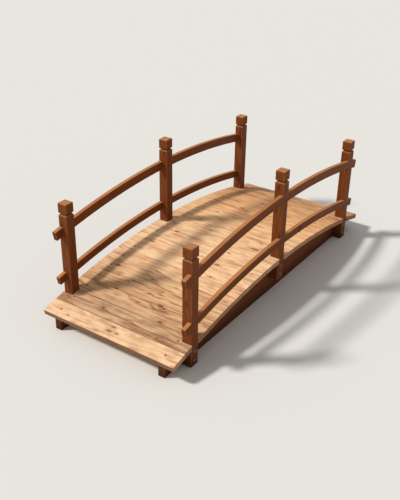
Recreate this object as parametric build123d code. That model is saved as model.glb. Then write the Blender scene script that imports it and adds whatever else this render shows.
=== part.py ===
# Small arched garden footbridge in timber, all sizes in millimetres.
# X runs along the bridge, Y across it (left is +Y), Z is up.
# The origin is on the ground, under the middle of the span.

from build123d import *
import math
import os

# Deck
deck_radius = 2950.0          # curve of the walking surface
crown_height = 172.0          # walking surface above the ground at mid span
board_thickness = 21.0
board_width = 75.6
board_gap = 1.4               # open joint between two boards, on the walking surface
board_count = 20
board_edge_round = 2.0        # rounded long edges on top
board_overhang = 4.0          # board ends stand this far outside the posts

# Side beams, one under each row of posts
beam_thickness = 30.0
beam_end_setback = 12.0       # beam end behind the outer edge of the last board
beam_edge_ease = 1.5

# Posts, three on each side
bridge_width = 620.0          # over the outer faces of the posts
post_width = 42.0             # square section
end_post_x = 624.0            # middle of an end post, from mid span
post_above_deck = 386.0
post_below_deck = 104.0       # foot of the post below the walking surface
post_edge_ease = 1.5
cap_height = 39.0             # plain block above the groove
cap_chamfer = 2.0
groove_height = 12.0
groove_depth = 6.5

# Hand rails, two on each side, let into the outer faces of the posts
upper_rail_height = 38.0
lower_rail_height = 34.0
rail_thickness = 18.0
rail_edge_round = 2.0
rail_end_stub = 35.0          # rail end beyond the end posts
upper_rail_above_deck = 286.0 # top of the rail above the walking surface
lower_rail_above_deck = 92.0

# Fits
seat_gap = 0.2                # boards over beams
notch_gap = 1.0               # board notch round a post
lap_gap = 0.3                 # rail in its housing, post against beam

# Derived places
board_pitch = board_width + board_gap
arc_centre = crown_height - deck_radius
board_underside_radius = deck_radius - board_thickness
beam_top_radius = board_underside_radius - seat_gap
deck_half_arc = board_count * board_pitch / 2 - board_gap / 2
deck_half_length = deck_radius * math.sin(deck_half_arc / deck_radius)
board_length = bridge_width + 2 * board_overhang
notch_cutter_height = 6 * board_thickness
beam_half_length = deck_half_length - beam_end_setback
post_outer = bridge_width / 2
post_inner = post_outer - post_width
beam_outer = post_inner - lap_gap
rail_half_length = end_post_x + post_width / 2 + rail_end_stub

sides = {"left": 1, "right": -1}
stations = {"near": -end_post_x, "middle": 0.0, "far": end_post_x}
rails = {
    "upper": (upper_rail_above_deck, upper_rail_height),
    "lower": (lower_rail_above_deck, lower_rail_height),
}


def arc_height(x, radius=deck_radius):
    """Height of a circle about the common centre, over the point x."""
    return arc_centre + math.sqrt(radius * radius - x * x)


def arc_band(outer_radius, inner_radius, half_length):
    """Flat band in the XZ plane between two arcs, with upright ends."""
    top_end = arc_height(half_length, outer_radius)
    low_end = arc_height(half_length, inner_radius)
    with BuildSketch(Plane.XZ) as band:
        with BuildLine():
            ThreePointArc((-half_length, top_end), (0, arc_height(0, outer_radius)), (half_length, top_end))
            Line((half_length, top_end), (half_length, low_end))
            ThreePointArc((half_length, low_end), (0, arc_height(0, inner_radius)), (-half_length, low_end))
            Line((-half_length, low_end), (-half_length, top_end))
        make_face()
    return band.sketch


def slab_between(face, y_low, y_high):
    """A face in the XZ plane made into a slab from y_low to y_high."""
    return Pos(0, y_high, 0) * extrude(face, amount=y_high - y_low)


def rail_housing(above_deck, height):
    """Outline of an arched rail, grown all round by the clearance of its housing."""
    top_radius = deck_radius + above_deck + lap_gap
    return arc_band(top_radius, top_radius - height - 2 * lap_gap, rail_half_length + lap_gap)


def make_rail(above_deck, height, side):
    """Arched rail with square-cut ends: its section swung round the common centre."""
    middle_radius = deck_radius + above_deck - height / 2
    middle_y = side * (post_outer - rail_thickness / 2)
    half_swing = math.degrees(math.asin(rail_half_length / middle_radius))
    section = Plane.YZ * Pos(middle_y, arc_centre + middle_radius) * RectangleRounded(
        rail_thickness, height, rail_edge_round
    )
    swing_axis = Axis((0, 0, arc_centre), (0, 1, 0))
    return revolve(section.rotate(swing_axis, -half_swing), swing_axis, 2 * half_swing)


def make_beam(side):
    """Side beam: top edge cut to the curve of the deck, bottom edge straight."""
    top_end = arc_height(beam_half_length, beam_top_radius)
    with BuildSketch(Plane.XZ) as outline:
        with BuildLine():
            ThreePointArc(
                (-beam_half_length, top_end), (0, arc_height(0, beam_top_radius)), (beam_half_length, top_end)
            )
            Polyline((beam_half_length, top_end), (beam_half_length, 0), (-beam_half_length, 0))
            Line((-beam_half_length, 0), (-beam_half_length, top_end))
        make_face()
    outer = side * beam_outer
    inner = side * (beam_outer - beam_thickness)
    beam = slab_between(outline.sketch, min(outer, inner), max(outer, inner))
    end_edges = beam.edges().filter_by(Axis.Z)
    return chamfer(end_edges, beam_edge_ease)


def groove_cutter(reach, length):
    """Wedge lying along Y, twice as deep as the groove, whose point lies groove_depth inside X = reach."""
    back = reach + groove_depth
    wedge = Polygon((reach - groove_depth, 0), (back, -groove_height), (back, groove_height), align=None)
    return Pos(0, length / 2, 0) * extrude(Plane.XZ * wedge, amount=length)


def make_post(x, side):
    """Post with a V groove sawn across each face below its head, and a housing for each rail."""
    deck_here = arc_height(x)
    length = post_below_deck + post_above_deck
    foot = deck_here - post_below_deck
    post = Box(post_width, post_width, length, align=(Align.CENTER, Align.CENTER, Align.MIN))
    post = chamfer(post.faces().sort_by(Axis.Z)[-1].edges(), cap_chamfer)
    post = chamfer(post.edges().filter_by(Axis.Z), post_edge_ease)
    groove_middle = length - cap_height - groove_height / 2
    for turn in (0, 90, 180, 270):
        post -= Pos(0, 0, groove_middle) * Rot(0, 0, turn) * groove_cutter(post_width / 2, 2 * post_width)
    post = Pos(x, side * (post_outer - post_width / 2), foot) * post
    outer = side * (post_outer + lap_gap)
    inner = side * (post_outer - rail_thickness - lap_gap)
    for above_deck, height in rails.values():
        post -= slab_between(rail_housing(above_deck, height), min(outer, inner), max(outer, inner))
    return post


def board_blank():
    """Board lying over mid span, rounded along the two long edges on top."""
    low = crown_height - board_thickness
    board = Pos(0, 0, low) * Box(
        board_width, board_length, board_thickness, align=(Align.CENTER, Align.CENTER, Align.MIN)
    )
    top_edges = board.faces().sort_by(Axis.Z)[-1].edges()
    return fillet(top_edges.filter_by(Axis.Y), board_edge_round)


def post_notch(x, side):
    """Upright cutter for the slot round one post, open at the board's end."""
    y_inner = post_inner - notch_gap
    y_outer = post_outer + 2 * board_overhang
    slot = Box(post_width + 2 * notch_gap, y_outer - y_inner, notch_cutter_height)
    return Pos(x, side * (y_inner + y_outer) / 2, arc_height(x)) * slot


def make_board(number):
    """Deck board laid square to the curve and notched round the posts that it meets."""
    along = (number - (board_count + 1) / 2) * board_pitch
    tilt = math.degrees(along / deck_radius)
    board = Pos(0, 0, arc_centre) * Rot(0, tilt, 0) * Pos(0, 0, -arc_centre) * board_blank()
    middle_x = deck_radius * math.sin(along / deck_radius)
    for x in stations.values():
        if abs(x - middle_x) < (board_width + post_width) / 2 + notch_gap:
            for side in sides.values():
                board -= post_notch(x, side)
    return board


def write(name, shape):
    export_step(shape, f"parts/{name}.step")


os.makedirs("parts", exist_ok=True)

for side_name, side in sides.items():
    write(f"side_beam_{side_name}", make_beam(side))
    for rail_name, (above_deck, height) in rails.items():
        write(f"{rail_name}_rail_{side_name}", make_rail(above_deck, height, side))
    for station, x in stations.items():
        write(f"post_{side_name}_{station}", make_post(x, side))

for number in range(1, board_count + 1):
    write(f"deck_board_{number:02d}", make_board(number))
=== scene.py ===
# Finishes, fasteners, studio and camera for a small arched garden footbridge.
# Metres. X runs along the bridge, Y across it (left is +Y), Z is up, the floor is at 0.
import math

import bmesh
import bpy
import numpy as np
from mathutils import Matrix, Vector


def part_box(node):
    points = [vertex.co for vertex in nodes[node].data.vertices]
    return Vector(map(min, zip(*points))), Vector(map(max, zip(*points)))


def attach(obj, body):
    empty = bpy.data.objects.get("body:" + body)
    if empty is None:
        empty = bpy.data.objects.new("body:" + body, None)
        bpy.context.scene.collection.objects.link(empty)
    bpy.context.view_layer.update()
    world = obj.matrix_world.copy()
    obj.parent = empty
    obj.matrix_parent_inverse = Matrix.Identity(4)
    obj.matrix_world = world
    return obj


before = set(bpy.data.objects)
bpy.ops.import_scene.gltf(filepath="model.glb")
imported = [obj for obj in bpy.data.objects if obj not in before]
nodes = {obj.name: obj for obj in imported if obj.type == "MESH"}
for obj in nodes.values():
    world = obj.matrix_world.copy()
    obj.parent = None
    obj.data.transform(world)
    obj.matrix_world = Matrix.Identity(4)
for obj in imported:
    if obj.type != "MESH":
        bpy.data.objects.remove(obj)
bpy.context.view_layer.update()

mm = 0.001
print("stage: frame loaded,", len(nodes), "nodes")


# One output of a shader node. Arithmetic on it adds Math nodes.
class Socket:
    def __init__(self, shader, output):
        self.shader = shader
        self.output = output

    def math(self, operation, *values):
        return self.shader.node("ShaderNodeMath", {"operation": operation}, dict(enumerate((self, *values))))

    def __add__(self, value):
        return self.math("ADD", value)

    def __sub__(self, value):
        return self.math("SUBTRACT", value)

    def __rsub__(self, value):
        return self.shader.node("ShaderNodeMath", {"operation": "SUBTRACT"}, {0: value, 1: self})

    def __mul__(self, value):
        return self.math("MULTIPLY", value)

    def __truediv__(self, value):
        return self.math("DIVIDE", value)

    def __pow__(self, value):
        return self.math("POWER", value)

    def __abs__(self):
        return self.math("ABSOLUTE")

    __radd__ = __add__
    __rmul__ = __mul__


shiftShares = (1.0, 1.7, 2.3)      # how much of a noise's shift goes along each axis


# One material, or the world, and the calls that build its nodes.
class Shader:
    def __init__(self, name, holders=bpy.data.materials):
        self.holder = holders.new(name)
        self.holder.use_nodes = True
        self.tree = self.holder.node_tree
        self.tree.nodes.clear()

    # settings are set first, then each input gets a number or a link
    def node(self, kind, settings, inputs, output=0):
        made = self.tree.nodes.new(kind)
        for key, value in settings.items():
            if key == "stops":
                self.setStops(made.color_ramp, value)
            else:
                setattr(made, key, value)
        for key, value in inputs.items():
            if isinstance(value, Socket):
                self.tree.links.new(value.output, made.inputs[key])
            else:
                made.inputs[key].default_value = value
        return Socket(self, made.outputs[output]) if len(made.outputs) else None

    # grey stops, as (place, level)
    def setStops(self, ramp, stops):
        while len(ramp.elements) < len(stops):
            ramp.elements.new(0.5)
        for element, (place, level) in zip(ramp.elements, stops):
            element.position = place
            element.color = (level, level, level, 1.0)

    # 0 at low, 1 at high, an S curve between
    def smooth(self, value, low, high):
        return self.node(
            "ShaderNodeMapRange",
            {"interpolation_type": "SMOOTHSTEP"},
            {"Value": value, "From Min": low, "From Max": high, "To Min": 0.0, "To Max": 1.0},
        )

    # colours only
    def mix(self, factor, first, second, mode="MIX"):
        settings = {"data_type": "RGBA", "blend_type": mode, "clamp_result": True}
        return self.node("ShaderNodeMix", settings, {0: factor, 6: first, 7: second}, 2)

    def vector(self, operation, first, second, output=0):
        return self.node("ShaderNodeVectorMath", {"operation": operation}, {0: first, 1: second}, output)

    # noise with its own size along each axis, in the units of place; shift draws another sample
    def noise(self, place, sizes, shift, detail):
        stretched = self.vector("DIVIDE", place, sizes)
        moved = self.vector("ADD", stretched, tuple(shift * share for share in shiftShares))
        return self.node("ShaderNodeTexNoise", {}, {"Vector": moved, "Scale": 1.0, "Detail": detail})

    def finish(self, sockets):
        surface = self.node("ShaderNodeBsdfPrincipled", {}, sockets)
        self.node("ShaderNodeOutputMaterial", {}, {"Surface": surface})
        return self.holder


screenCurve = {"knee": 0.04045, "slope": 12.92, "lift": 0.055, "power": 2.4}


# Screen colour, 0 to 255, made linear: its share over the slope below the knee, and above it the share plus
# the lift, over one plus the lift, to the power.
def colour(red, green, blue):
    knee, slope, lift, power = screenCurve.values()
    share = np.array((red, green, blue)) / 255
    linear = np.where(share <= knee, share / slope, ((share + lift) / (1 + lift)) ** power)
    return (*linear.tolist(), 1.0)


# Place on a piece in millimetres, X along the grain, Y across the face, Z through it: the object's place
# less the origin, turned back by turn, over a millimetre.
def grainPlace(shader, origin, turn):
    objectPlace = shader.node("ShaderNodeTexCoord", {}, {}, "Object")
    return shader.node(
        "ShaderNodeMapping",
        {"vector_type": "TEXTURE"},
        {"Vector": objectPlace, "Location": origin, "Rotation": turn, "Scale": (mm, mm, mm)},
    )


# How upright a face looks: the height of its normal, 1 facing up and -1 facing down.
def normalHeight(shader):
    normal = shader.node("ShaderNodeTexCoord", {}, {}, "Normal")
    return shader.node("ShaderNodeSeparateXYZ", {}, {0: normal}, "Z")


bevelSamples = 4
maskEdges = {
    "endGrain": (0.6, 0.8),      # size of the dot product of normal and grain
    "edgeWear": (0.995, 0.85),   # dot product of the real and the rounded normal
    "ovalMark": (1.7, 0.6),      # share of the mark's half sizes
}


# How far a face is cut across the grain, 1 on end grain and 0 on the long faces: a smooth step of the
# size of the dot product of its normal and the grain's axis.
def endGrain(shader, grainAxis):
    normal = shader.node("ShaderNodeTexCoord", {}, {}, "Normal")
    facing = abs(shader.vector("DOT_PRODUCT", normal, grainAxis, "Value"))
    return shader.smooth(facing, *maskEdges["endGrain"])


# Bright on edges: how far the normal of a slightly rounded copy leans from the real one, as a smooth step
# of their dot product.
def edgeWear(shader, radius):
    rounded = shader.node("ShaderNodeBevel", {"samples": bevelSamples}, {"Radius": radius})
    flat = shader.node("ShaderNodeNewGeometry", {}, {}, "Normal")
    return shader.smooth(shader.vector("DOT_PRODUCT", rounded, flat, "Value"), *maskEdges["edgeWear"])


# Named layers of noise, each (size along each axis in the units of place, shift, detail) and shifted further
# by the piece's own sample.
def noiseLayers(shader, place, layers, sample):
    made = {}
    for name, (sizes, shift, detail) in layers.items():
        made[name] = shader.noise(place, sizes, sample + shift, detail)
    return made


# The sum of the named sockets, each times its weight, on top of a base.
def weighted(sockets, weights, base):
    total = base
    for name, weight in weights.items():
        total = sockets[name] * weight + total
    return total


# What is left of an amount: a (start, loss) pair gives start less loss times the steps, never under 0.
def lessened(pair, steps):
    start, loss = pair
    return max(0.0, start - loss * steps)


# How one piece was cut from its log, drawn at random within the given ranges, in millimetres or in
# millimetres of lean for each millimetre along.
def drawLog(draw, ranges):
    return {
        "heartAcross": draw.uniform(-ranges["heartAcross"], ranges["heartAcross"]),
        "heartDeep": draw.choice((-1, 1)) * draw.uniform(*ranges["heartDeep"]),
        "leanAcross": draw.uniform(-ranges["leanAcross"], ranges["leanAcross"]),
        "leanDeep": draw.uniform(-ranges["leanDeep"], ranges["leanDeep"]),
        "sway": draw.uniform(*ranges["sway"]),
        "ringWidth": draw.uniform(*ranges["ringWidth"]),
    }


# A knot at random: place along, place across and radius, each between two ends.
def drawKnot(draw, spans):
    return tuple(draw.uniform(low, high) for low, high in spans)


# What a user would change about the growth rings and knots of every piece. The edges of a knot's masks are
# shares of its radius, from clear to full; steepEdges are how steeply the rings meet the face, from all
# steepTone to all rings; ringStops are (share of a ring, darkness).
growth = {
    "layers": {
        "sway": ((260.0, 46.0, 46.0), 0.0, 2.0),
        "ragged": ((9.0, 4.0, 4.0), 2.0, 2.0),
        "waver": ((120.0, 16.0, 16.0), 5.0, 2.0),
    },
    "raggedGain": 1.1,
    "raggedLeast": 0.45,
    "knotSquash": 0.45,      # knots are longer along the grain by one over this
    "bellWidth": 1.6,
    "bellPush": 2.0,
    "coreEdges": (1.15, 0.85),
    "rimEdges": (0.95, 0.45),
    "haloEdges": (3.0, 0.8),
    "steepEdges": (0.8, 0.3),
    "steepTone": 0.4,
    "ringStops": ((0.0, 0.1), (0.12, 0.0), (0.52, 0.2), (0.8, 1.0), (0.9, 0.9), (1.0, 0.1)),
}


# Growth rings are distances from the heart of the log, which leans a little through the piece and sways;
# each knot pushes them outwards as a bell curve round it, so they flow past it. Where the rings meet the
# face steeply they lie close together and blend into an even tone. The knots come back as three masks with
# a ragged outline: the core, the dark rim round it and a wide soft halo.
def growthRings(shader, place, log, knots):
    along, across, deep = (shader.node("ShaderNodeSeparateXYZ", {}, {0: place}, axis) for axis in "XYZ")
    offAcross = across - log["heartAcross"] - along * log["leanAcross"]
    offDeep = deep - log["heartDeep"] - along * log["leanDeep"]
    noise = noiseLayers(shader, place, growth["layers"], log["sample"])
    ragged = noise["ragged"] * growth["raggedGain"] + growth["raggedLeast"]
    radius = (offAcross * offAcross + offDeep * offDeep) ** 0.5 + (noise["sway"] - 0.5) * log["sway"]
    core = rim = halo = noise["waver"] * 0.0
    for knotAlong, knotAcross, knotRadius in knots:
        stretch = ((along - knotAlong) * growth["knotSquash"]) ** 2.0
        distance = (stretch + (across - knotAcross) ** 2.0) ** 0.5
        fall = -0.5 / (growth["bellWidth"] * knotRadius) ** 2
        radius = radius + (distance * distance * fall).math("EXPONENT") * (growth["bellPush"] * knotRadius)
        share = distance * ragged / knotRadius
        inside = shader.smooth(share, *growth["coreEdges"])
        core = core.math("MAXIMUM", inside)
        rim = rim.math("MAXIMUM", inside - shader.smooth(share, *growth["rimEdges"]))
        halo = halo.math("MAXIMUM", shader.smooth(share, *growth["haloEdges"]))
    phase = (radius / log["ringWidth"] + noise["waver"]).math("FRACT")
    late = shader.node("ShaderNodeValToRGB", {"stops": growth["ringStops"]}, {0: phase})
    wide = shader.smooth(abs(offAcross) / radius, *growth["steepEdges"])
    late = late * wide + growth["steepTone"] * (1.0 - wide)
    return {"late": late, "core": core, "rim": rim, "halo": halo, "along": along, "across": across}


# Soft-edged oval marks, each (place along, place across, half length, half width, strength): the offsets
# over the half sizes are squared and added, and the root of that plus a roughness falls off smoothly.
def ovalMarks(shader, along, across, rough, marks):
    mask = rough * 0.0
    for markAlong, markAcross, halfLength, halfWidth, strength in marks:
        squares = ((along - markAlong) / halfLength) ** 2.0 + ((across - markAcross) / halfWidth) ** 2.0
        inside = shader.smooth(squares ** 0.5 + rough, *maskEdges["ovalMark"])
        mask = mask.math("MAXIMUM", inside * strength)
    return mask


# What a user would change about the deck boards, in millimetres. Tones are (lightness, warmth) of each board
# from the near end, 0 and 0 for plain wood: partly the boards' own tones and partly painted light, with the
# middle boards lighter as painted sunlight and the second to fifth and the far boards darker as painted
# shade. Knots are (place along the board, place across it, radius); marks and blushes, dark patches and
# orange ones, are as in ovalMarks. Amounts are how far a colour covers the wood, and a pair of them is as in
# lessened. Levels are the values between which it comes in. Weights and Base are as in weighted, and a Wander
# is how far noise moves an outline. The inner side shade is how much painted shade the long side faces inside
# the deck get, next to the full painted shade on those of the first and the last board.
deckBoards = {
    "pitch": 77.0,
    "curveRadius": 2950.0,
    "crown": 172.0,
    "halfWidth": 37.8,
    "pale": colour(244, 205, 163),
    "late": colour(174, 119, 79),
    "streak": colour(146, 92, 58),
    "grey": colour(160, 120, 99),
    "mark": colour(122, 86, 64),
    # colour of the painted shade on the boards' side faces
    "edge": colour(98, 70, 50),
    "halo": colour(170, 112, 72),
    "blush": colour(214, 142, 90),
    "knot": colour(122, 72, 44),
    "rim": colour(66, 36, 24),
    "seed": 41,
    "layers": {
        "fibre": ((150.0, 3.2, 3.2), 0.0, 2.0),
        "fine": ((40.0, 0.8, 0.8), 1.0, 2.0),
        "streak": ((120.0, 9.0, 9.0), 3.0, 3.0),
        "band": ((95.0, 15.0, 15.0), 13.0, 3.0),
        "mottle": ((60.0, 34.0, 34.0), 9.0, 3.0),
    },
    "log": {
        "heartAcross": 45.0,
        "heartDeep": (34.0, 80.0),
        "leanAcross": 0.03,
        "leanDeep": 0.05,
        "sway": (14.0, 26.0),
        "ringWidth": (6.5, 10.5),
    },
    "sampleStep": 7.0,
    "strayKnot": ((-280.0, 280.0), (-30.0, 30.0), (2.0, 4.0)),
    "ringAmounts": (0.7, 0.15),          # the loss is for a step of lightness
    "toneWeights": {"band": 1.2, "mottle": 0.7, "fibre": 0.2, "fine": 0.3},
    "toneBase": -1.25,
    "streakLevels": (0.54, 0.72),
    "streakAmounts": (0.42, 0.17),       # for a step of lightness
    "greyLevels": (0.42, 0.72),
    "greyAmounts": (0.45, 0.3),          # for a step of warmth
    "blushRoughWeights": {"band": 1.1},
    "markRoughWeights": {"band": 1.1, "fibre": 0.4},
    "haloAmount": 0.4,
    "coreAmount": 0.65,
    "rimAmount": 0.4,
    "screwAcross": 254.0,
    "screwRing": (13.0, 5.0),
    "screwWander": 8.0,
    "screwAmount": 0.5,
    "seamFade": (-1.0, 4.5),
    "seamWander": 9.0,
    "seamAmount": 0.2,
    "sideShadeLevels": (0.75, 0.5),
    "sideShadeWeights": {"band": 0.3},
    "sideShadeBase": 0.7,
    "cutAmount": 0.68,
    "innerSideShade": 0.35,
    "lightGain": 0.19,
    "warmTint": (0.04, -0.035, -0.12),
    "roughWeights": {"mottle": 0.2},
    "roughBase": 0.62,
    "gloss": 0.22,
    "bumpWeights": {"late": -0.4, "fibre": 0.3, "fine": 0.4, "streak": 0.4, "core": -0.2},
    "bumpStrength": 0.5,
    "bumpDepth": 0.5,
    "tonesAndPaintedLight": [
        (0.5, 0.3), (-1.3, 0.7), (-0.9, 1.0), (-0.8, 1.4), (-0.3, 1.0), (0.5, 0.7), (1.0, 0.5), (0.9, 0.6),
        (1.0, 0.4), (0.9, 0.5), (0.8, 0.8), (0.6, 1.0), (0.7, 1.4), (0.5, 1.8), (0.1, 2.2), (-0.3, 2.4),
        (-0.6, 2.4), (-0.9, 2.4), (-1.1, 2.4), (-1.2, 2.4),
    ],
    "knots": {
        1: [(7.0, 3.5, 4.5), (3.0, -19.0, 4.5), (-27.0, 2.0, 4.0), (207.0, 13.0, 2.5)],
        2: [],
        3: [(-106.0, -35.0, 4.0), (9.0, -17.0, 2.0), (-138.0, 31.0, 4.5)],
        4: [(-4.0, -2.0, 3.5), (-84.0, 34.0, 5.5), (134.0, 35.0, 3.5)],
        5: [(43.0, -4.5, 3.0), (224.0, -9.0, 5.0)],
        7: [(-150.0, 20.0, 4.0)],
        8: [(-125.0, 10.5, 5.0), (215.0, 4.0, 4.0)],
        9: [(-113.0, -15.0, 3.0)],
        10: [(-191.0, -29.0, 7.0), (178.0, 32.0, 5.0)],
        11: [(-182.0, -14.0, 4.0), (60.0, 12.0, 3.0)],
        13: [(-40.0, 6.0, 4.5), (150.0, -20.0, 4.0)],
        15: [(90.0, 10.0, 4.0), (-120.0, -16.0, 4.5)],
    },
    "blushes": {
        6: [(120.0, 4.0, 60.0, 18.0, 0.4)],
        7: [(-287.0, 5.0, 16.0, 10.0, 0.6)],
        8: [(-125.0, 10.0, 22.0, 14.0, 0.6)],
        9: [(162.0, -22.0, 24.0, 14.0, 0.7), (-113.0, -15.0, 14.0, 9.0, 0.5)],
        11: [(-44.0, -11.0, 50.0, 9.0, 0.4)],
        14: [(60.0, 0.0, 80.0, 20.0, 0.4)],
        16: [(-80.0, 10.0, 90.0, 20.0, 0.4)],
    },
    "marks": {
        1: [(272.0, 1.0, 40.0, 5.0, 0.7)],
        2: [
            (98.0, 4.0, 46.0, 24.0, 0.5), (109.0, -9.0, 18.0, 11.0, 0.9), (-25.0, -1.0, 44.0, 4.5, 0.7),
            (-188.0, 2.0, 50.0, 22.0, 0.4), (-175.0, 28.0, 16.0, 8.0, 0.85), (160.0, -37.0, 75.0, 3.5, 0.8),
        ],
        3: [
            (110.0, -12.0, 34.0, 12.0, 0.55), (-138.0, 30.0, 12.0, 7.0, 0.7), (-165.0, -4.0, 26.0, 4.0, 0.5),
            (-107.0, -35.0, 14.0, 7.0, 1.0), (150.0, 37.0, 70.0, 3.0, 0.6),
        ],
        4: [
            (150.0, 0.0, 24.0, 6.0, 0.7), (-10.0, -2.0, 30.0, 7.0, 0.75), (134.0, 34.0, 22.0, 6.0, 0.7),
            (-86.0, 35.0, 19.0, 9.0, 1.0),
        ],
        5: [(26.0, -4.0, 26.0, 6.0, 0.6), (-76.0, -4.0, 18.0, 5.0, 0.6), (-285.0, -31.0, 16.0, 7.0, 0.8)],
        6: [(284.0, 0.0, 30.0, 16.0, 0.5), (60.0, 24.0, 40.0, 6.0, 0.4)],
        8: [(-275.0, -6.0, 20.0, 8.0, 0.7), (215.0, 4.0, 30.0, 7.0, 0.6)],
        12: [(-172.0, 6.0, 20.0, 12.0, 0.45)],
        13: [(-90.0, -8.0, 80.0, 10.0, 0.4)],
        16: [(40.0, 10.0, 60.0, 12.0, 0.4)],
    },
}


boardNames = sorted(name for name in nodes if name.startswith("deck_board_"))


# Angle of a board round the deck's centre: its number from the middle one, times pitch over radius.
def boardTilt(number):
    return (number - (len(boardNames) + 1) / 2) * deckBoards["pitch"] / deckBoards["curveRadius"]


# Height over the point x of a circle about the deck's centre: the centre's height, plus the root of the
# radius squared less x squared.
def deckHeight(x, radius=deckBoards["curveRadius"]):
    return deckBoards["crown"] - deckBoards["curveRadius"] + math.sqrt(radius * radius - x * x)


# Pale softwood laid flat: growth rings, fibre streaks, knots, grey weathering, dark rings at the screws,
# painted shade along the seams and on the side faces, then a tint of one plus each share of the board's
# warmth, times its lightness, which also paints sunlight and shade on some boards.
def deckWood(number, draw):
    values = deckBoards
    shader = Shader(f"deck_wood_{number:02d}")
    tilt = boardTilt(number)
    x = values["curveRadius"] * math.sin(tilt)
    place = grainPlace(shader, (x * mm, 0.0, deckHeight(x) * mm), (tilt, 0.0, math.pi / 2))
    log = drawLog(draw, values["log"])
    log["sample"] = values["sampleStep"] * number
    # The board's tone, partly its own and partly painted light: painted sunlight on the middle boards,
    # painted shade on the second to fifth and the far boards.
    light, warm = values["tonesAndPaintedLight"][number - 1]
    stray = [drawKnot(draw, values["strayKnot"])]
    wood = growthRings(shader, place, log, values["knots"].get(number, stray))
    wood.update(noiseLayers(shader, place, values["layers"], log["sample"]))
    along, across = wood["along"], wood["across"]

    rings = wood["late"] * lessened(values["ringAmounts"], light)
    tone = rings + weighted(wood, values["toneWeights"], values["toneBase"])
    surface = shader.mix(tone, values["pale"], values["late"])
    streaks = shader.smooth(wood["streak"], *values["streakLevels"])
    surface = shader.mix(streaks * lessened(values["streakAmounts"], light), surface, values["streak"])
    greying = shader.smooth(wood["mottle"], *values["greyLevels"])
    surface = shader.mix(greying * lessened(values["greyAmounts"], warm), surface, values["grey"])
    rough = weighted(wood, values["blushRoughWeights"], 0.0)
    blushes = ovalMarks(shader, along, across, rough, values["blushes"].get(number, []))
    surface = shader.mix(blushes, surface, values["blush"])
    rough = weighted(wood, values["markRoughWeights"], 0.0)
    marks = ovalMarks(shader, along, across, rough, values["marks"].get(number, []))
    surface = shader.mix(marks, surface, values["mark"])
    surface = shader.mix(wood["halo"] * values["haloAmount"], surface, values["halo"])
    surface = shader.mix(wood["core"] * values["coreAmount"], surface, values["knot"])
    surface = shader.mix(wood["rim"] * values["rimAmount"], surface, values["rim"])

    screwDistance = ((abs(along) - values["screwAcross"]) ** 2.0 + across ** 2.0) ** 0.5
    screwDistance = screwDistance + wood["mottle"] * values["screwWander"]
    screwStain = shader.smooth(screwDistance, *values["screwRing"]) * values["screwAmount"]
    # Painted shade along the long edges next to the gaps between boards, put on together with the screw
    # stains.
    seamStart, seamEnd = (values["halfWidth"] + fade for fade in values["seamFade"])
    fromMiddle = abs(across) + wood["band"] * values["seamWander"]
    seamShade = shader.smooth(fromMiddle, seamStart, seamEnd) * values["seamAmount"]
    surface = shader.mix(screwStain.math("MAXIMUM", seamShade), surface, values["streak"])
    cut = endGrain(shader, (0.0, 1.0, 0.0))
    surface = shader.mix(cut * values["cutAmount"], surface, values["mark"])
    # Painted shade on the boards' side faces: full on the open long faces of the first and the last board,
    # less on those inside the deck.
    exposed = 1.0 if number in (1, len(boardNames)) else values["innerSideShade"]
    sideShading = shader.smooth(abs(normalHeight(shader)), *values["sideShadeLevels"]) * (1.0 - cut) * exposed
    sideShading = sideShading * weighted(wood, values["sideShadeWeights"], values["sideShadeBase"])
    surface = shader.mix(sideShading, surface, values["edge"])
    # The tint puts on the board's tone, and with it the painted sunlight and painted shade.
    gain = 1.0 + values["lightGain"] * light
    tint = (*(gain * (1.0 + share * warm) for share in values["warmTint"]), 1.0)
    surface = shader.mix(1.0, surface, tint, "MULTIPLY")

    height = weighted(wood, values["bumpWeights"], 0.0)
    relief = {"Height": height, "Strength": values["bumpStrength"], "Distance": values["bumpDepth"] * mm}
    return shader.finish({
        "Base Color": surface,
        "Roughness": weighted(wood, values["roughWeights"], values["roughBase"]),
        "Specular IOR Level": values["gloss"],
        "Normal": shader.node("ShaderNodeBump", {}, relief),
    })


drawBoards = np.random.default_rng(deckBoards["seed"])
for number, name in enumerate(boardNames, 1):
    nodes[name].data.materials[0] = deckWood(number, drawBoards)
print("stage: deck boards finished")


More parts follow.
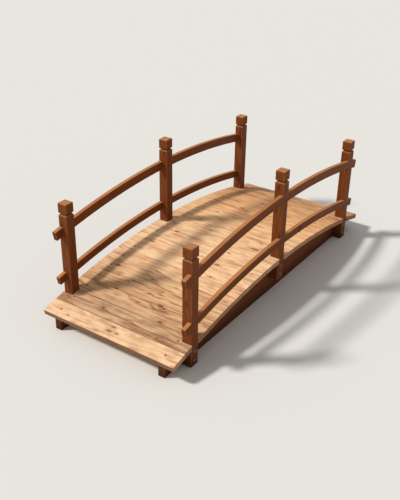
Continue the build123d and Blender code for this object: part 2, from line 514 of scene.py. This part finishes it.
# What a user would change about the red-brown stained pieces, in millimetres. Grain runs the long way of
# each. Knots are as on the deck boards, from the middle of the piece. The dark colour is that of the damp
# feet, which fades out dampHeight above the floor, and of the painted shade in the groove, whose dark line
# lies grooveBelowTop under a post's top.
stainedPieces = {
    "body": colour(127, 67, 27),
    "deep": colour(56, 25, 8),
    "wornAndHighlight": colour(190, 132, 84),
    "fadedAndLit": colour(204, 138, 88),
    "darkening": colour(46, 30, 18),
    "seed": 77,
    "layers": {
        "fibre": ((80.0, 2.2, 2.2), 0.0, 2.0),
        "fine": ((36.0, 0.7, 0.7), 1.0, 2.0),
        "streak": ((240.0, 7.0, 7.0), 3.0, 3.0),
        "mottle": ((140.0, 26.0, 26.0), 9.0, 3.0),
    },
    "log": {
        "heartAcross": 30.0,
        "heartDeep": (30.0, 80.0),
        "leanAcross": 0.02,
        "leanDeep": 0.03,
        "sway": (7.0, 12.0),
        "ringWidth": (4.0, 6.0),
    },
    "sampleSpan": (0.0, 90.0),
    "strayKnot": ((-200.0, 200.0), (-12.0, 12.0), (2.5, 4.5)),
    "knots": {"post_right_middle": [(174.0, 3.0, 3.0), (-37.0, -14.0, 3.5)]},
    "toneWeights": {"late": 0.35, "fibre": 0.4, "fine": 0.12, "streak": 0.7},
    "toneBase": -0.5,
    "knotWeights": {"halo": 0.3, "core": 0.3, "rim": 0.4},
    "upwardLevels": (0.5, 0.95),
    "fadedAndLitWeights": {"mottle": 0.8},
    "fadedAndLitBase": 0.35,
    "cutAmount": 0.35,
    "wornAndHighlightRadius": 3.0,
    "wornAndHighlightWeights": {"mottle": 1.0, "fibre": 0.5},
    "wornAndHighlightLevels": (0.4, 0.75),
    "wornAndHighlightAmount": 0.8,
    "dampHeight": 70.0,
    "dampWander": 40.0,
    "dampAmount": 0.7,
    "grooveBelowTop": 44.0,
    "grooveWander": 2.0,
    "grooveFade": (6.5, 2.5),
    "grooveAmount": 0.75,
    "roughWeights": {"mottle": 0.25, "wearAndHighlight": 0.2, "darkening": 0.2},
    "roughBase": 0.42,
    "gloss": 0.1,
    "bumpWeights": {"late": -0.3, "fibre": 0.3, "fine": 0.3, "streak": 0.2},
    "bumpStrength": 0.4,
    "bumpDepth": 0.4,
}


# Softwood under a thin satin stain: rings and fibre show through it, edges rub pale and carry a painted
# highlight, upward faces fade and carry painted light, feet are dark with damp and the grooves carry painted
# shade.
def stainedWood(name, draw):
    values = stainedPieces
    shader = Shader(f"stained_wood_{name}")
    low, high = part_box(name)
    upright = name.startswith("post_")
    turn = (0.0, -math.pi / 2, 0.0) if upright else (0.0, 0.0, 0.0)
    place = grainPlace(shader, tuple((low + high) / 2), turn)
    log = drawLog(draw, values["log"])
    log["sample"] = draw.uniform(*values["sampleSpan"])
    knots = [drawKnot(draw, values["strayKnot"]), *values["knots"].get(name, [])]
    wood = growthRings(shader, place, log, knots)
    wood.update(noiseLayers(shader, place, values["layers"], log["sample"]))

    tone = weighted(wood, values["toneWeights"], values["toneBase"])
    surface = shader.mix(tone, values["body"], values["deep"])
    surface = shader.mix(weighted(wood, values["knotWeights"], 0.0), surface, values["deep"])
    upward = shader.smooth(normalHeight(shader), *values["upwardLevels"])
    # Upward faces get lighter: partly sun fading, partly painted light on the tops.
    fadingAndTopLight = upward * weighted(wood, values["fadedAndLitWeights"], values["fadedAndLitBase"])
    surface = shader.mix(fadingAndTopLight, surface, values["fadedAndLit"])
    cut = endGrain(shader, (0.0, 0.0, 1.0) if upright else (1.0, 0.0, 0.0))
    surface = shader.mix(cut * (1.0 - upward) * values["cutAmount"], surface, values["deep"])
    # Edges rub pale in patches, and the same pale edges also stand in for a painted highlight.
    patches = shader.smooth(weighted(wood, values["wornAndHighlightWeights"], 0.0), *values["wornAndHighlightLevels"])
    wood["wearAndHighlight"] = edgeWear(shader, values["wornAndHighlightRadius"] * mm) * patches
    surface = shader.mix(wood["wearAndHighlight"] * values["wornAndHighlightAmount"], surface, values["wornAndHighlight"])
    objectPlace = shader.node("ShaderNodeTexCoord", {}, {}, "Object")
    rise = shader.node("ShaderNodeSeparateXYZ", {}, {0: objectPlace}, "Z") / mm
    wander = (wood["mottle"] - 0.5) * values["dampWander"]
    wood["darkening"] = shader.smooth(rise + wander, values["dampHeight"], 0.0)
    surface = shader.mix(wood["darkening"] * values["dampAmount"], surface, values["darkening"])
    # Painted shade in the groove under a post's cap: a dark line grooveBelowTop under the post's top.
    if upright:
        fromGroove = abs(high.z / mm - rise - values["grooveBelowTop"])
        fromGroove = fromGroove + wood["mottle"] * values["grooveWander"]
        groove = shader.smooth(fromGroove, *values["grooveFade"])
        surface = shader.mix(groove * values["grooveAmount"], surface, values["darkening"])

    height = weighted(wood, values["bumpWeights"], 0.0)
    relief = {"Height": height, "Strength": values["bumpStrength"], "Distance": values["bumpDepth"] * mm}
    return shader.finish({
        "Base Color": surface,
        "Roughness": weighted(wood, values["roughWeights"], values["roughBase"]),
        "Specular IOR Level": values["gloss"],
        "Normal": shader.node("ShaderNodeBump", {}, relief),
    })


drawStained = np.random.default_rng(stainedPieces["seed"])
for name in sorted(nodes):
    if name not in boardNames:
        nodes[name].data.materials[0] = stainedWood(name, drawStained)
print("stage: posts, rails and beams finished")


# Four-cornered faces of a grid of points, closed round its columns: each takes a point and the next one in
# its row, and the same two in the next row.
def gridFaces(rows, columns, start):
    row, column = np.meshgrid(np.arange(rows - 1), np.arange(columns), indexing="ij")
    here = start + row * columns + column
    beside = start + row * columns + (column + 1) % columns
    return np.stack([corner.ravel() for corner in (here, beside, beside + columns, here + columns)], axis=1)


mergeDistance = 1e-6
sharpAngle = math.radians(35)
nearlyAlong = 0.9      # a direction with a larger part than this along Y counts as lying along it


# Joins grids into one object, merging the points that meet at a pole or a centre.
def makePiece(name, grids, material):
    points, faces, start = [], [], 0
    for grid in grids:
        rows, columns = grid.shape[:2]
        points.append(grid.reshape(-1, 3))
        faces.append(gridFaces(rows, columns, start))
        start += rows * columns
    mesh = bpy.data.meshes.new(name)
    mesh.from_pydata(np.concatenate(points).tolist(), [], np.concatenate(faces).tolist())
    work = bmesh.new()
    work.from_mesh(mesh)
    bmesh.ops.remove_doubles(work, verts=work.verts, dist=mergeDistance)
    bmesh.ops.recalc_face_normals(work, faces=work.faces)
    work.to_mesh(mesh)
    work.free()
    mesh.shade_smooth()
    mesh.set_sharp_from_angle(angle=sharpAngle)
    mesh.materials.append(material)
    piece = bpy.data.objects.new(name, mesh)
    bpy.context.scene.collection.objects.link(piece)
    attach(piece, "root")
    return piece


# Points round an axis: X is the reach times the cosine of the angle, Y the reach times its sine.
def roundAxis(reach, angle, height):
    tall = np.broadcast_to(height, reach.shape)
    return np.stack([reach * np.cos(angle), reach * np.sin(angle), tall], axis=2)


# A turned form: profile rows of (radius, height) swept round the axis, no further out than limit(angle).
def turned(profile, columns, limit=None):
    radius, height = np.array(profile, float).T
    angle = np.linspace(0, 2 * np.pi, columns, endpoint=False)
    reach = np.repeat(radius[:, None], columns, axis=1)
    if limit is not None:
        reach = np.minimum(reach, limit(angle))
    return roundAxis(reach, angle, height[:, None])


# Copies of a form in millimetres at each place: its Z goes along direction, its X along a line square to
# that, and its Y along the cross product of the two.
def setAt(form, places, direction):
    toward = np.array(direction, float)
    helper = (0.0, 1.0, 0.0) if abs(toward[1]) < nearlyAlong else (1.0, 0.0, 0.0)
    across = np.cross(helper, toward)
    across /= np.linalg.norm(across)
    turn = np.stack([across, np.cross(toward, across), toward])
    return [(form @ turn + np.array(place)) * mm for place in places]


# Middle along the bridge, side (1 left, -1 right) and outer face of each post, in millimetres, from its box.
postPlaces = []
for name in sorted(nodes):
    if name.startswith("post_"):
        low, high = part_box(name)
        side = 1 if low.y > 0 else -1
        postPlaces.append(((low.x + high.x) / 2 / mm, side, max(abs(low.y), abs(high.y)) / mm))


# What a user would change about the carriage bolts that hold each post to its beam, in millimetres.
postBolts = {
    "belowDeck": (43.0, 83.0),
    "columns": 32,
    "headRadius": 6.5,
    "headHeight": 3.0,
    "headSunk": 0.2,
    "headRows": 9,
    "washerRadius": 8.5,
    "washerThickness": 1.5,
    "nutAcrossFlats": 10.0,
    "nutHeight": 5.0,
    "nutBevel": 0.6,         # share of the corner's reach beyond the flats
    "nutColumns": 48,
    "boreFlare": 0.6,
    "boreLap": 0.2,
    "boreDepth": 0.8,
    "threadRadius": 3.0,
    "threadDepth": 0.45,
    "threadPitch": 1.0,
    "threadLength": 4.0,
    "threadInNut": 1.0,
    "threadRows": 33,
    "threadColumns": 24,
    "tipChamfer": 0.7,
    "bright": colour(128, 120, 108),
    "dull": colour(88, 78, 66),
    "rust": colour(108, 68, 42),
    "layers": {
        "cloud": ((3.0, 3.0, 3.0), 2.0, 4.0),
        "rust": ((1.6, 1.6, 1.6), 11.0, 3.0),
    },
    "rustLevels": (0.6, 0.72),
    "rustAmount": 0.8,
    "rustDulls": 0.6,        # how much less metallic the rust is
    "roughWeights": {"cloud": 0.3, "rust": 0.3},
    "roughBase": 0.25,
}


# Rounded head: a flat cap of a sphere, radius falling as the root of one less the share of height squared.
def boltHead(values):
    radius, low = values["headRadius"], -values["headSunk"]
    rise = np.linspace(0, 1, values["headRows"])
    cap = zip(radius * np.sqrt(1 - rise ** 2), values["headHeight"] * rise)
    return turned([(0.0, low), (radius, low), *cap], values["columns"])


# Flat round washer: the four corners of its section, swept round the axis.
def boltWasher(values):
    radius, top = values["washerRadius"], values["washerThickness"]
    return turned([(0.0, 0.0), (radius, 0.0), (radius, top), (0.0, top)], values["columns"])


# Six-sided nut: a turned blank cut back to the distance of the nearest flat at each angle, which is half the
# size across the flats over the cosine of the angle from the middle of that flat.
def hexNut(values):
    flat = values["nutAcrossFlats"] / 2
    corner = flat / math.cos(math.pi / 6)
    bevel = (corner - flat) * values["nutBevel"]
    bore = values["threadRadius"]
    low = values["washerThickness"]
    top = low + values["nutHeight"]
    rows = [
        (bore, low), (flat, low), (corner, low + bevel), (corner, top - bevel), (flat, top),
        (bore + values["boreFlare"], top), (bore - values["boreLap"], top - values["boreDepth"]),
    ]
    sixth = np.pi / 3

    def nearestFlat(angle):
        return flat / np.cos((angle + sixth / 2) % sixth - sixth / 2)

    return turned(rows, values["nutColumns"], nearestFlat)


# Threaded end: the radius falls by the thread's depth times a triangle wave of the turns, height over pitch
# less the share of a turn, and is no more than the chamfer leaves at that distance from the tip.
def boltThread(values):
    start = values["washerThickness"] + values["nutHeight"] - values["threadInNut"]
    height = np.linspace(0, values["threadLength"], values["threadRows"])[:, None]
    angle = np.linspace(0, 2 * np.pi, values["threadColumns"], endpoint=False)
    turns = height / values["threadPitch"] - angle / (2 * np.pi)
    radius = values["threadRadius"] - values["threadDepth"] * 2 * np.abs(turns % 1 - 0.5)
    fromTip = values["threadLength"] - height
    radius = np.minimum(radius, values["threadRadius"] - values["tipChamfer"] + fromTip)
    radius[0] = radius[-1] = 0.0
    return roundAxis(radius, angle, start + height)


# Object place in millimetres.
def metalPlace(shader):
    return shader.vector("DIVIDE", shader.node("ShaderNodeTexCoord", {}, {}, "Object"), (mm, mm, mm))


# Dull zinc: grey metal with cloudy roughness and rust where a finer noise is high.
def zincSteel(values):
    shader = Shader("zinc_steel")
    steel = noiseLayers(shader, metalPlace(shader), values["layers"], 0.0)
    steel["rust"] = shader.smooth(steel["rust"], *values["rustLevels"])
    surface = shader.mix(steel["cloud"], values["bright"], values["dull"])
    surface = shader.mix(steel["rust"] * values["rustAmount"], surface, values["rust"])
    return shader.finish({
        "Base Color": surface,
        "Metallic": 1.0 - steel["rust"] * values["rustDulls"],
        "Roughness": weighted(steel, values["roughWeights"], values["roughBase"]),
    })


# Two bolts through each post, each a depth below the deck: a head outside, and a washer, a nut and the
# thread's end inside the beam.
def makeBolts(values):
    heads, washers, nuts, threads = [], [], [], []
    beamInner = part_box("side_beam_left")[0].y / mm
    for x, side, outer in postPlaces:
        heights = [deckHeight(x) - depth for depth in values["belowDeck"]]
        inside = [(x, side * beamInner, height) for height in heights]
        heads += setAt(boltHead(values), [(x, side * outer, height) for height in heights], (0, side, 0))
        washers += setAt(boltWasher(values), inside, (0, -side, 0))
        nuts += setAt(hexNut(values), inside, (0, -side, 0))
        threads += setAt(boltThread(values), inside, (0, -side, 0))
    zinc = zincSteel(values)
    makePiece("bolt_heads", heads, zinc)
    makePiece("bolt_washers", washers, zinc)
    makePiece("bolt_nuts", nuts, zinc)
    makePiece("bolt_threads", threads, zinc)


makeBolts(postBolts)
print("stage: bolts made")


# What a user would change about the countersunk screws, one through each board into each beam and one at
# each crossing of a rail and a post, in millimetres. railMiddles are heights above the deck. The profile is
# (share of the radius, share of the stand) from the rim to the middle; crossReach and crossHalfWidth are
# shares of the radius, and crossFloor is a share of the stand.
woodScrews = {
    "boardRadius": 3.4,
    "railRadius": 3.6,
    "railMiddles": (267.0, 75.0),
    "stand": 0.4,
    "sunk": 0.3,
    "profile": ((1.0, 0.75), (0.93, 1.0), (0.55, 1.0), (0.47, 1.0), (0.4, 1.0), (0.25, 1.0), (0.0, 0.0)),
    "crossReach": 0.5,
    "crossHalfWidth": 0.14,
    "crossFloor": 0.1,
    "columns": 48,
    "dark": colour(84, 56, 38),
    "brown": colour(124, 74, 44),
    "layers": {"cloud": ((1.8, 1.8, 1.8), 4.0, 4.0)},
    "metallic": 0.2,
    "roughWeights": {"cloud": 0.3},
    "roughBase": 0.5,
}


# Countersunk head: a low disc with a rounded rim and a cross cut into it, which lies where the smaller of
# the sizes of sine and cosine, times the reach, is under half the cross's width.
def screwHead(radius, values):
    angle = np.linspace(0, 2 * np.pi, values["columns"], endpoint=False)
    shares, levels = np.array([(1.0, 0.0), *values["profile"]]).T
    levels = levels * values["stand"]
    levels[0] = -values["sunk"]
    offAxis = np.minimum(np.abs(np.sin(angle)), np.abs(np.cos(angle)))
    inSlot = offAxis * shares[:, None] < values["crossHalfWidth"]
    inCross = inSlot & (shares < values["crossReach"])[:, None]
    height = np.where(inCross, values["crossFloor"] * values["stand"], levels[:, None])
    return roundAxis(np.repeat(radius * shares[:, None], len(angle), axis=1), angle, height)


# Dark steel of the wood screws, brown with age.
def screwSteel(values):
    shader = Shader("screw_steel")
    steel = noiseLayers(shader, metalPlace(shader), values["layers"], 0.0)
    return shader.finish({
        "Base Color": shader.mix(steel["cloud"], values["dark"], values["brown"]),
        "Metallic": values["metallic"],
        "Roughness": weighted(steel, values["roughWeights"], values["roughBase"]),
    })


# Screws square to each board over both beams, at the deck radius times the sine of the board's tilt, and one
# into each post through each rail.
def makeScrews(values):
    screws = []
    for number in range(1, len(boardNames) + 1):
        tilt = boardTilt(number)
        x = deckBoards["curveRadius"] * math.sin(tilt)
        places = [(x, side * deckBoards["screwAcross"], deckHeight(x)) for side in (1, -1)]
        screws += setAt(screwHead(values["boardRadius"], values), places, (math.sin(tilt), 0, math.cos(tilt)))
    for x, side, outer in postPlaces:
        heights = [deckHeight(x, deckBoards["curveRadius"] + above) for above in values["railMiddles"]]
        places = [(x, side * outer, height) for height in heights]
        screws += setAt(screwHead(values["railRadius"], values), places, (0, side, 0))
    makePiece("wood_screws", screws, screwSteel(values))


makeScrews(woodScrews)
print("stage: screws made")


# What a user would change about the studio: a pale floor, a pale sky and one wide soft lamp. The lamp shines
# from lampPlace towards the origin, from so far off that it lights all of the floor alike; its spread is its
# width in degrees as the object sees it.
studio = {
    "floorHalf": 60.0,
    "floorDrop": 0.0005,
    "floor": colour(236, 235, 232),
    "floorLayers": {"cloud": ((0.4, 0.4, 0.4), 1.0, 2.0)},
    "floorRoughWeights": {"cloud": 0.1},
    "floorRoughBase": 0.8,
    "floorGloss": 0.2,
    "sky": (0.8, 0.77, 0.73, 1.0),
    "skyWhite": (1.0, 1.0, 1.0, 1.0),
    "skyLight": 0.36,
    "lampPlace": (-3.8, 4.6, 5.3),
    "lampSpread": 9.0,
    "lampStrength": 2.85,
    "lampWarmth": (1.0, 0.965, 0.92),
}


# Plain level floor, its corners plus and minus half its size, with the faintest cloud in its roughness.
def makeFloor(values):
    shader = Shader("studio_floor")
    place = shader.node("ShaderNodeTexCoord", {}, {}, "Object")
    cloud = noiseLayers(shader, place, values["floorLayers"], 0.0)
    material = shader.finish({
        "Base Color": values["floor"],
        "Roughness": weighted(cloud, values["floorRoughWeights"], values["floorRoughBase"]),
        "Specular IOR Level": values["floorGloss"],
    })
    half, drop = values["floorHalf"], values["floorDrop"]
    corners = [(-half, -half, -drop), (half, -half, -drop), (half, half, -drop), (-half, half, -drop)]
    mesh = bpy.data.meshes.new("studio_floor")
    mesh.from_pydata(corners, [], [(0, 1, 2, 3)])
    mesh.materials.append(material)
    floor = bpy.data.objects.new("studio_floor", mesh)
    bpy.context.scene.collection.objects.link(floor)


# The sky lights the object at one strength, and shows itself to camera, glossy and transmission rays, whose
# masks are added, at another.
def makeSky(values):
    shader = Shader("studio_sky", bpy.data.worlds)
    rays = ("Is Camera Ray", "Is Glossy Ray", "Is Transmission Ray")
    camera, glossy, through = (shader.node("ShaderNodeLightPath", {}, {}, ray) for ray in rays)
    light = {"Color": values["skyWhite"], "Strength": values["skyLight"]}
    lit = shader.node("ShaderNodeBackground", {}, light)
    seen = shader.node("ShaderNodeBackground", {}, {"Color": values["sky"], "Strength": 1.0})
    either = shader.node("ShaderNodeMixShader", {}, {0: camera + glossy + through, 1: lit, 2: seen})
    shader.node("ShaderNodeOutputWorld", {}, {"Surface": either})
    bpy.context.scene.world = shader.holder


# A sun lamp, turned to look from its place at the origin.
def makeLamp(values):
    data = bpy.data.lights.new("soft_lamp", "SUN")
    data.angle = math.radians(values["lampSpread"])
    data.energy = values["lampStrength"]
    data.color = values["lampWarmth"]
    lamp = bpy.data.objects.new("soft_lamp", data)
    lamp.location = values["lampPlace"]
    lamp.rotation_mode = "QUATERNION"
    lamp.rotation_quaternion = (-lamp.location).to_track_quat("-Z", "Y")
    bpy.context.scene.collection.objects.link(lamp)


makeFloor(studio)
makeSky(studio)
makeLamp(studio)
print("stage: studio made")


# The photograph's view: place in metres, angles in degrees, lens for a 36 mm long side.
cameraView = {
    "place": (-2.4271, -1.5596, 1.6923),
    "heading": 34.366,
    "dip": 28.87,
    "roll": 0.917,
    "lens": 53.75,
}


# Looks along a line whose level part is the cosine of dip and points to heading, and which falls by the sine
# of dip, then rolls about that line.
def makeCamera(values):
    heading, dip, roll = (math.radians(values[key]) for key in ("heading", "dip", "roll"))
    ahead = np.array((math.cos(dip) * math.cos(heading), math.cos(dip) * math.sin(heading), -math.sin(dip)))
    right = np.cross(ahead, (0.0, 0.0, 1.0))
    right /= np.linalg.norm(right)
    up = np.cross(right, ahead)
    rolledRight = right * math.cos(roll) + up * math.sin(roll)
    rolledUp = up * math.cos(roll) - right * math.sin(roll)
    data = bpy.data.cameras.new("camera")
    data.lens = values["lens"]
    camera = bpy.data.objects.new("camera", data)
    turn = np.stack([rolledRight, rolledUp, -ahead], axis=1)
    camera.matrix_world = Matrix.Translation(values["place"]) @ Matrix(turn.tolist()).to_4x4()
    bpy.context.scene.collection.objects.link(camera)
    bpy.context.scene.camera = camera


makeCamera(cameraView)
bpy.context.scene.view_settings.view_transform = "Standard"
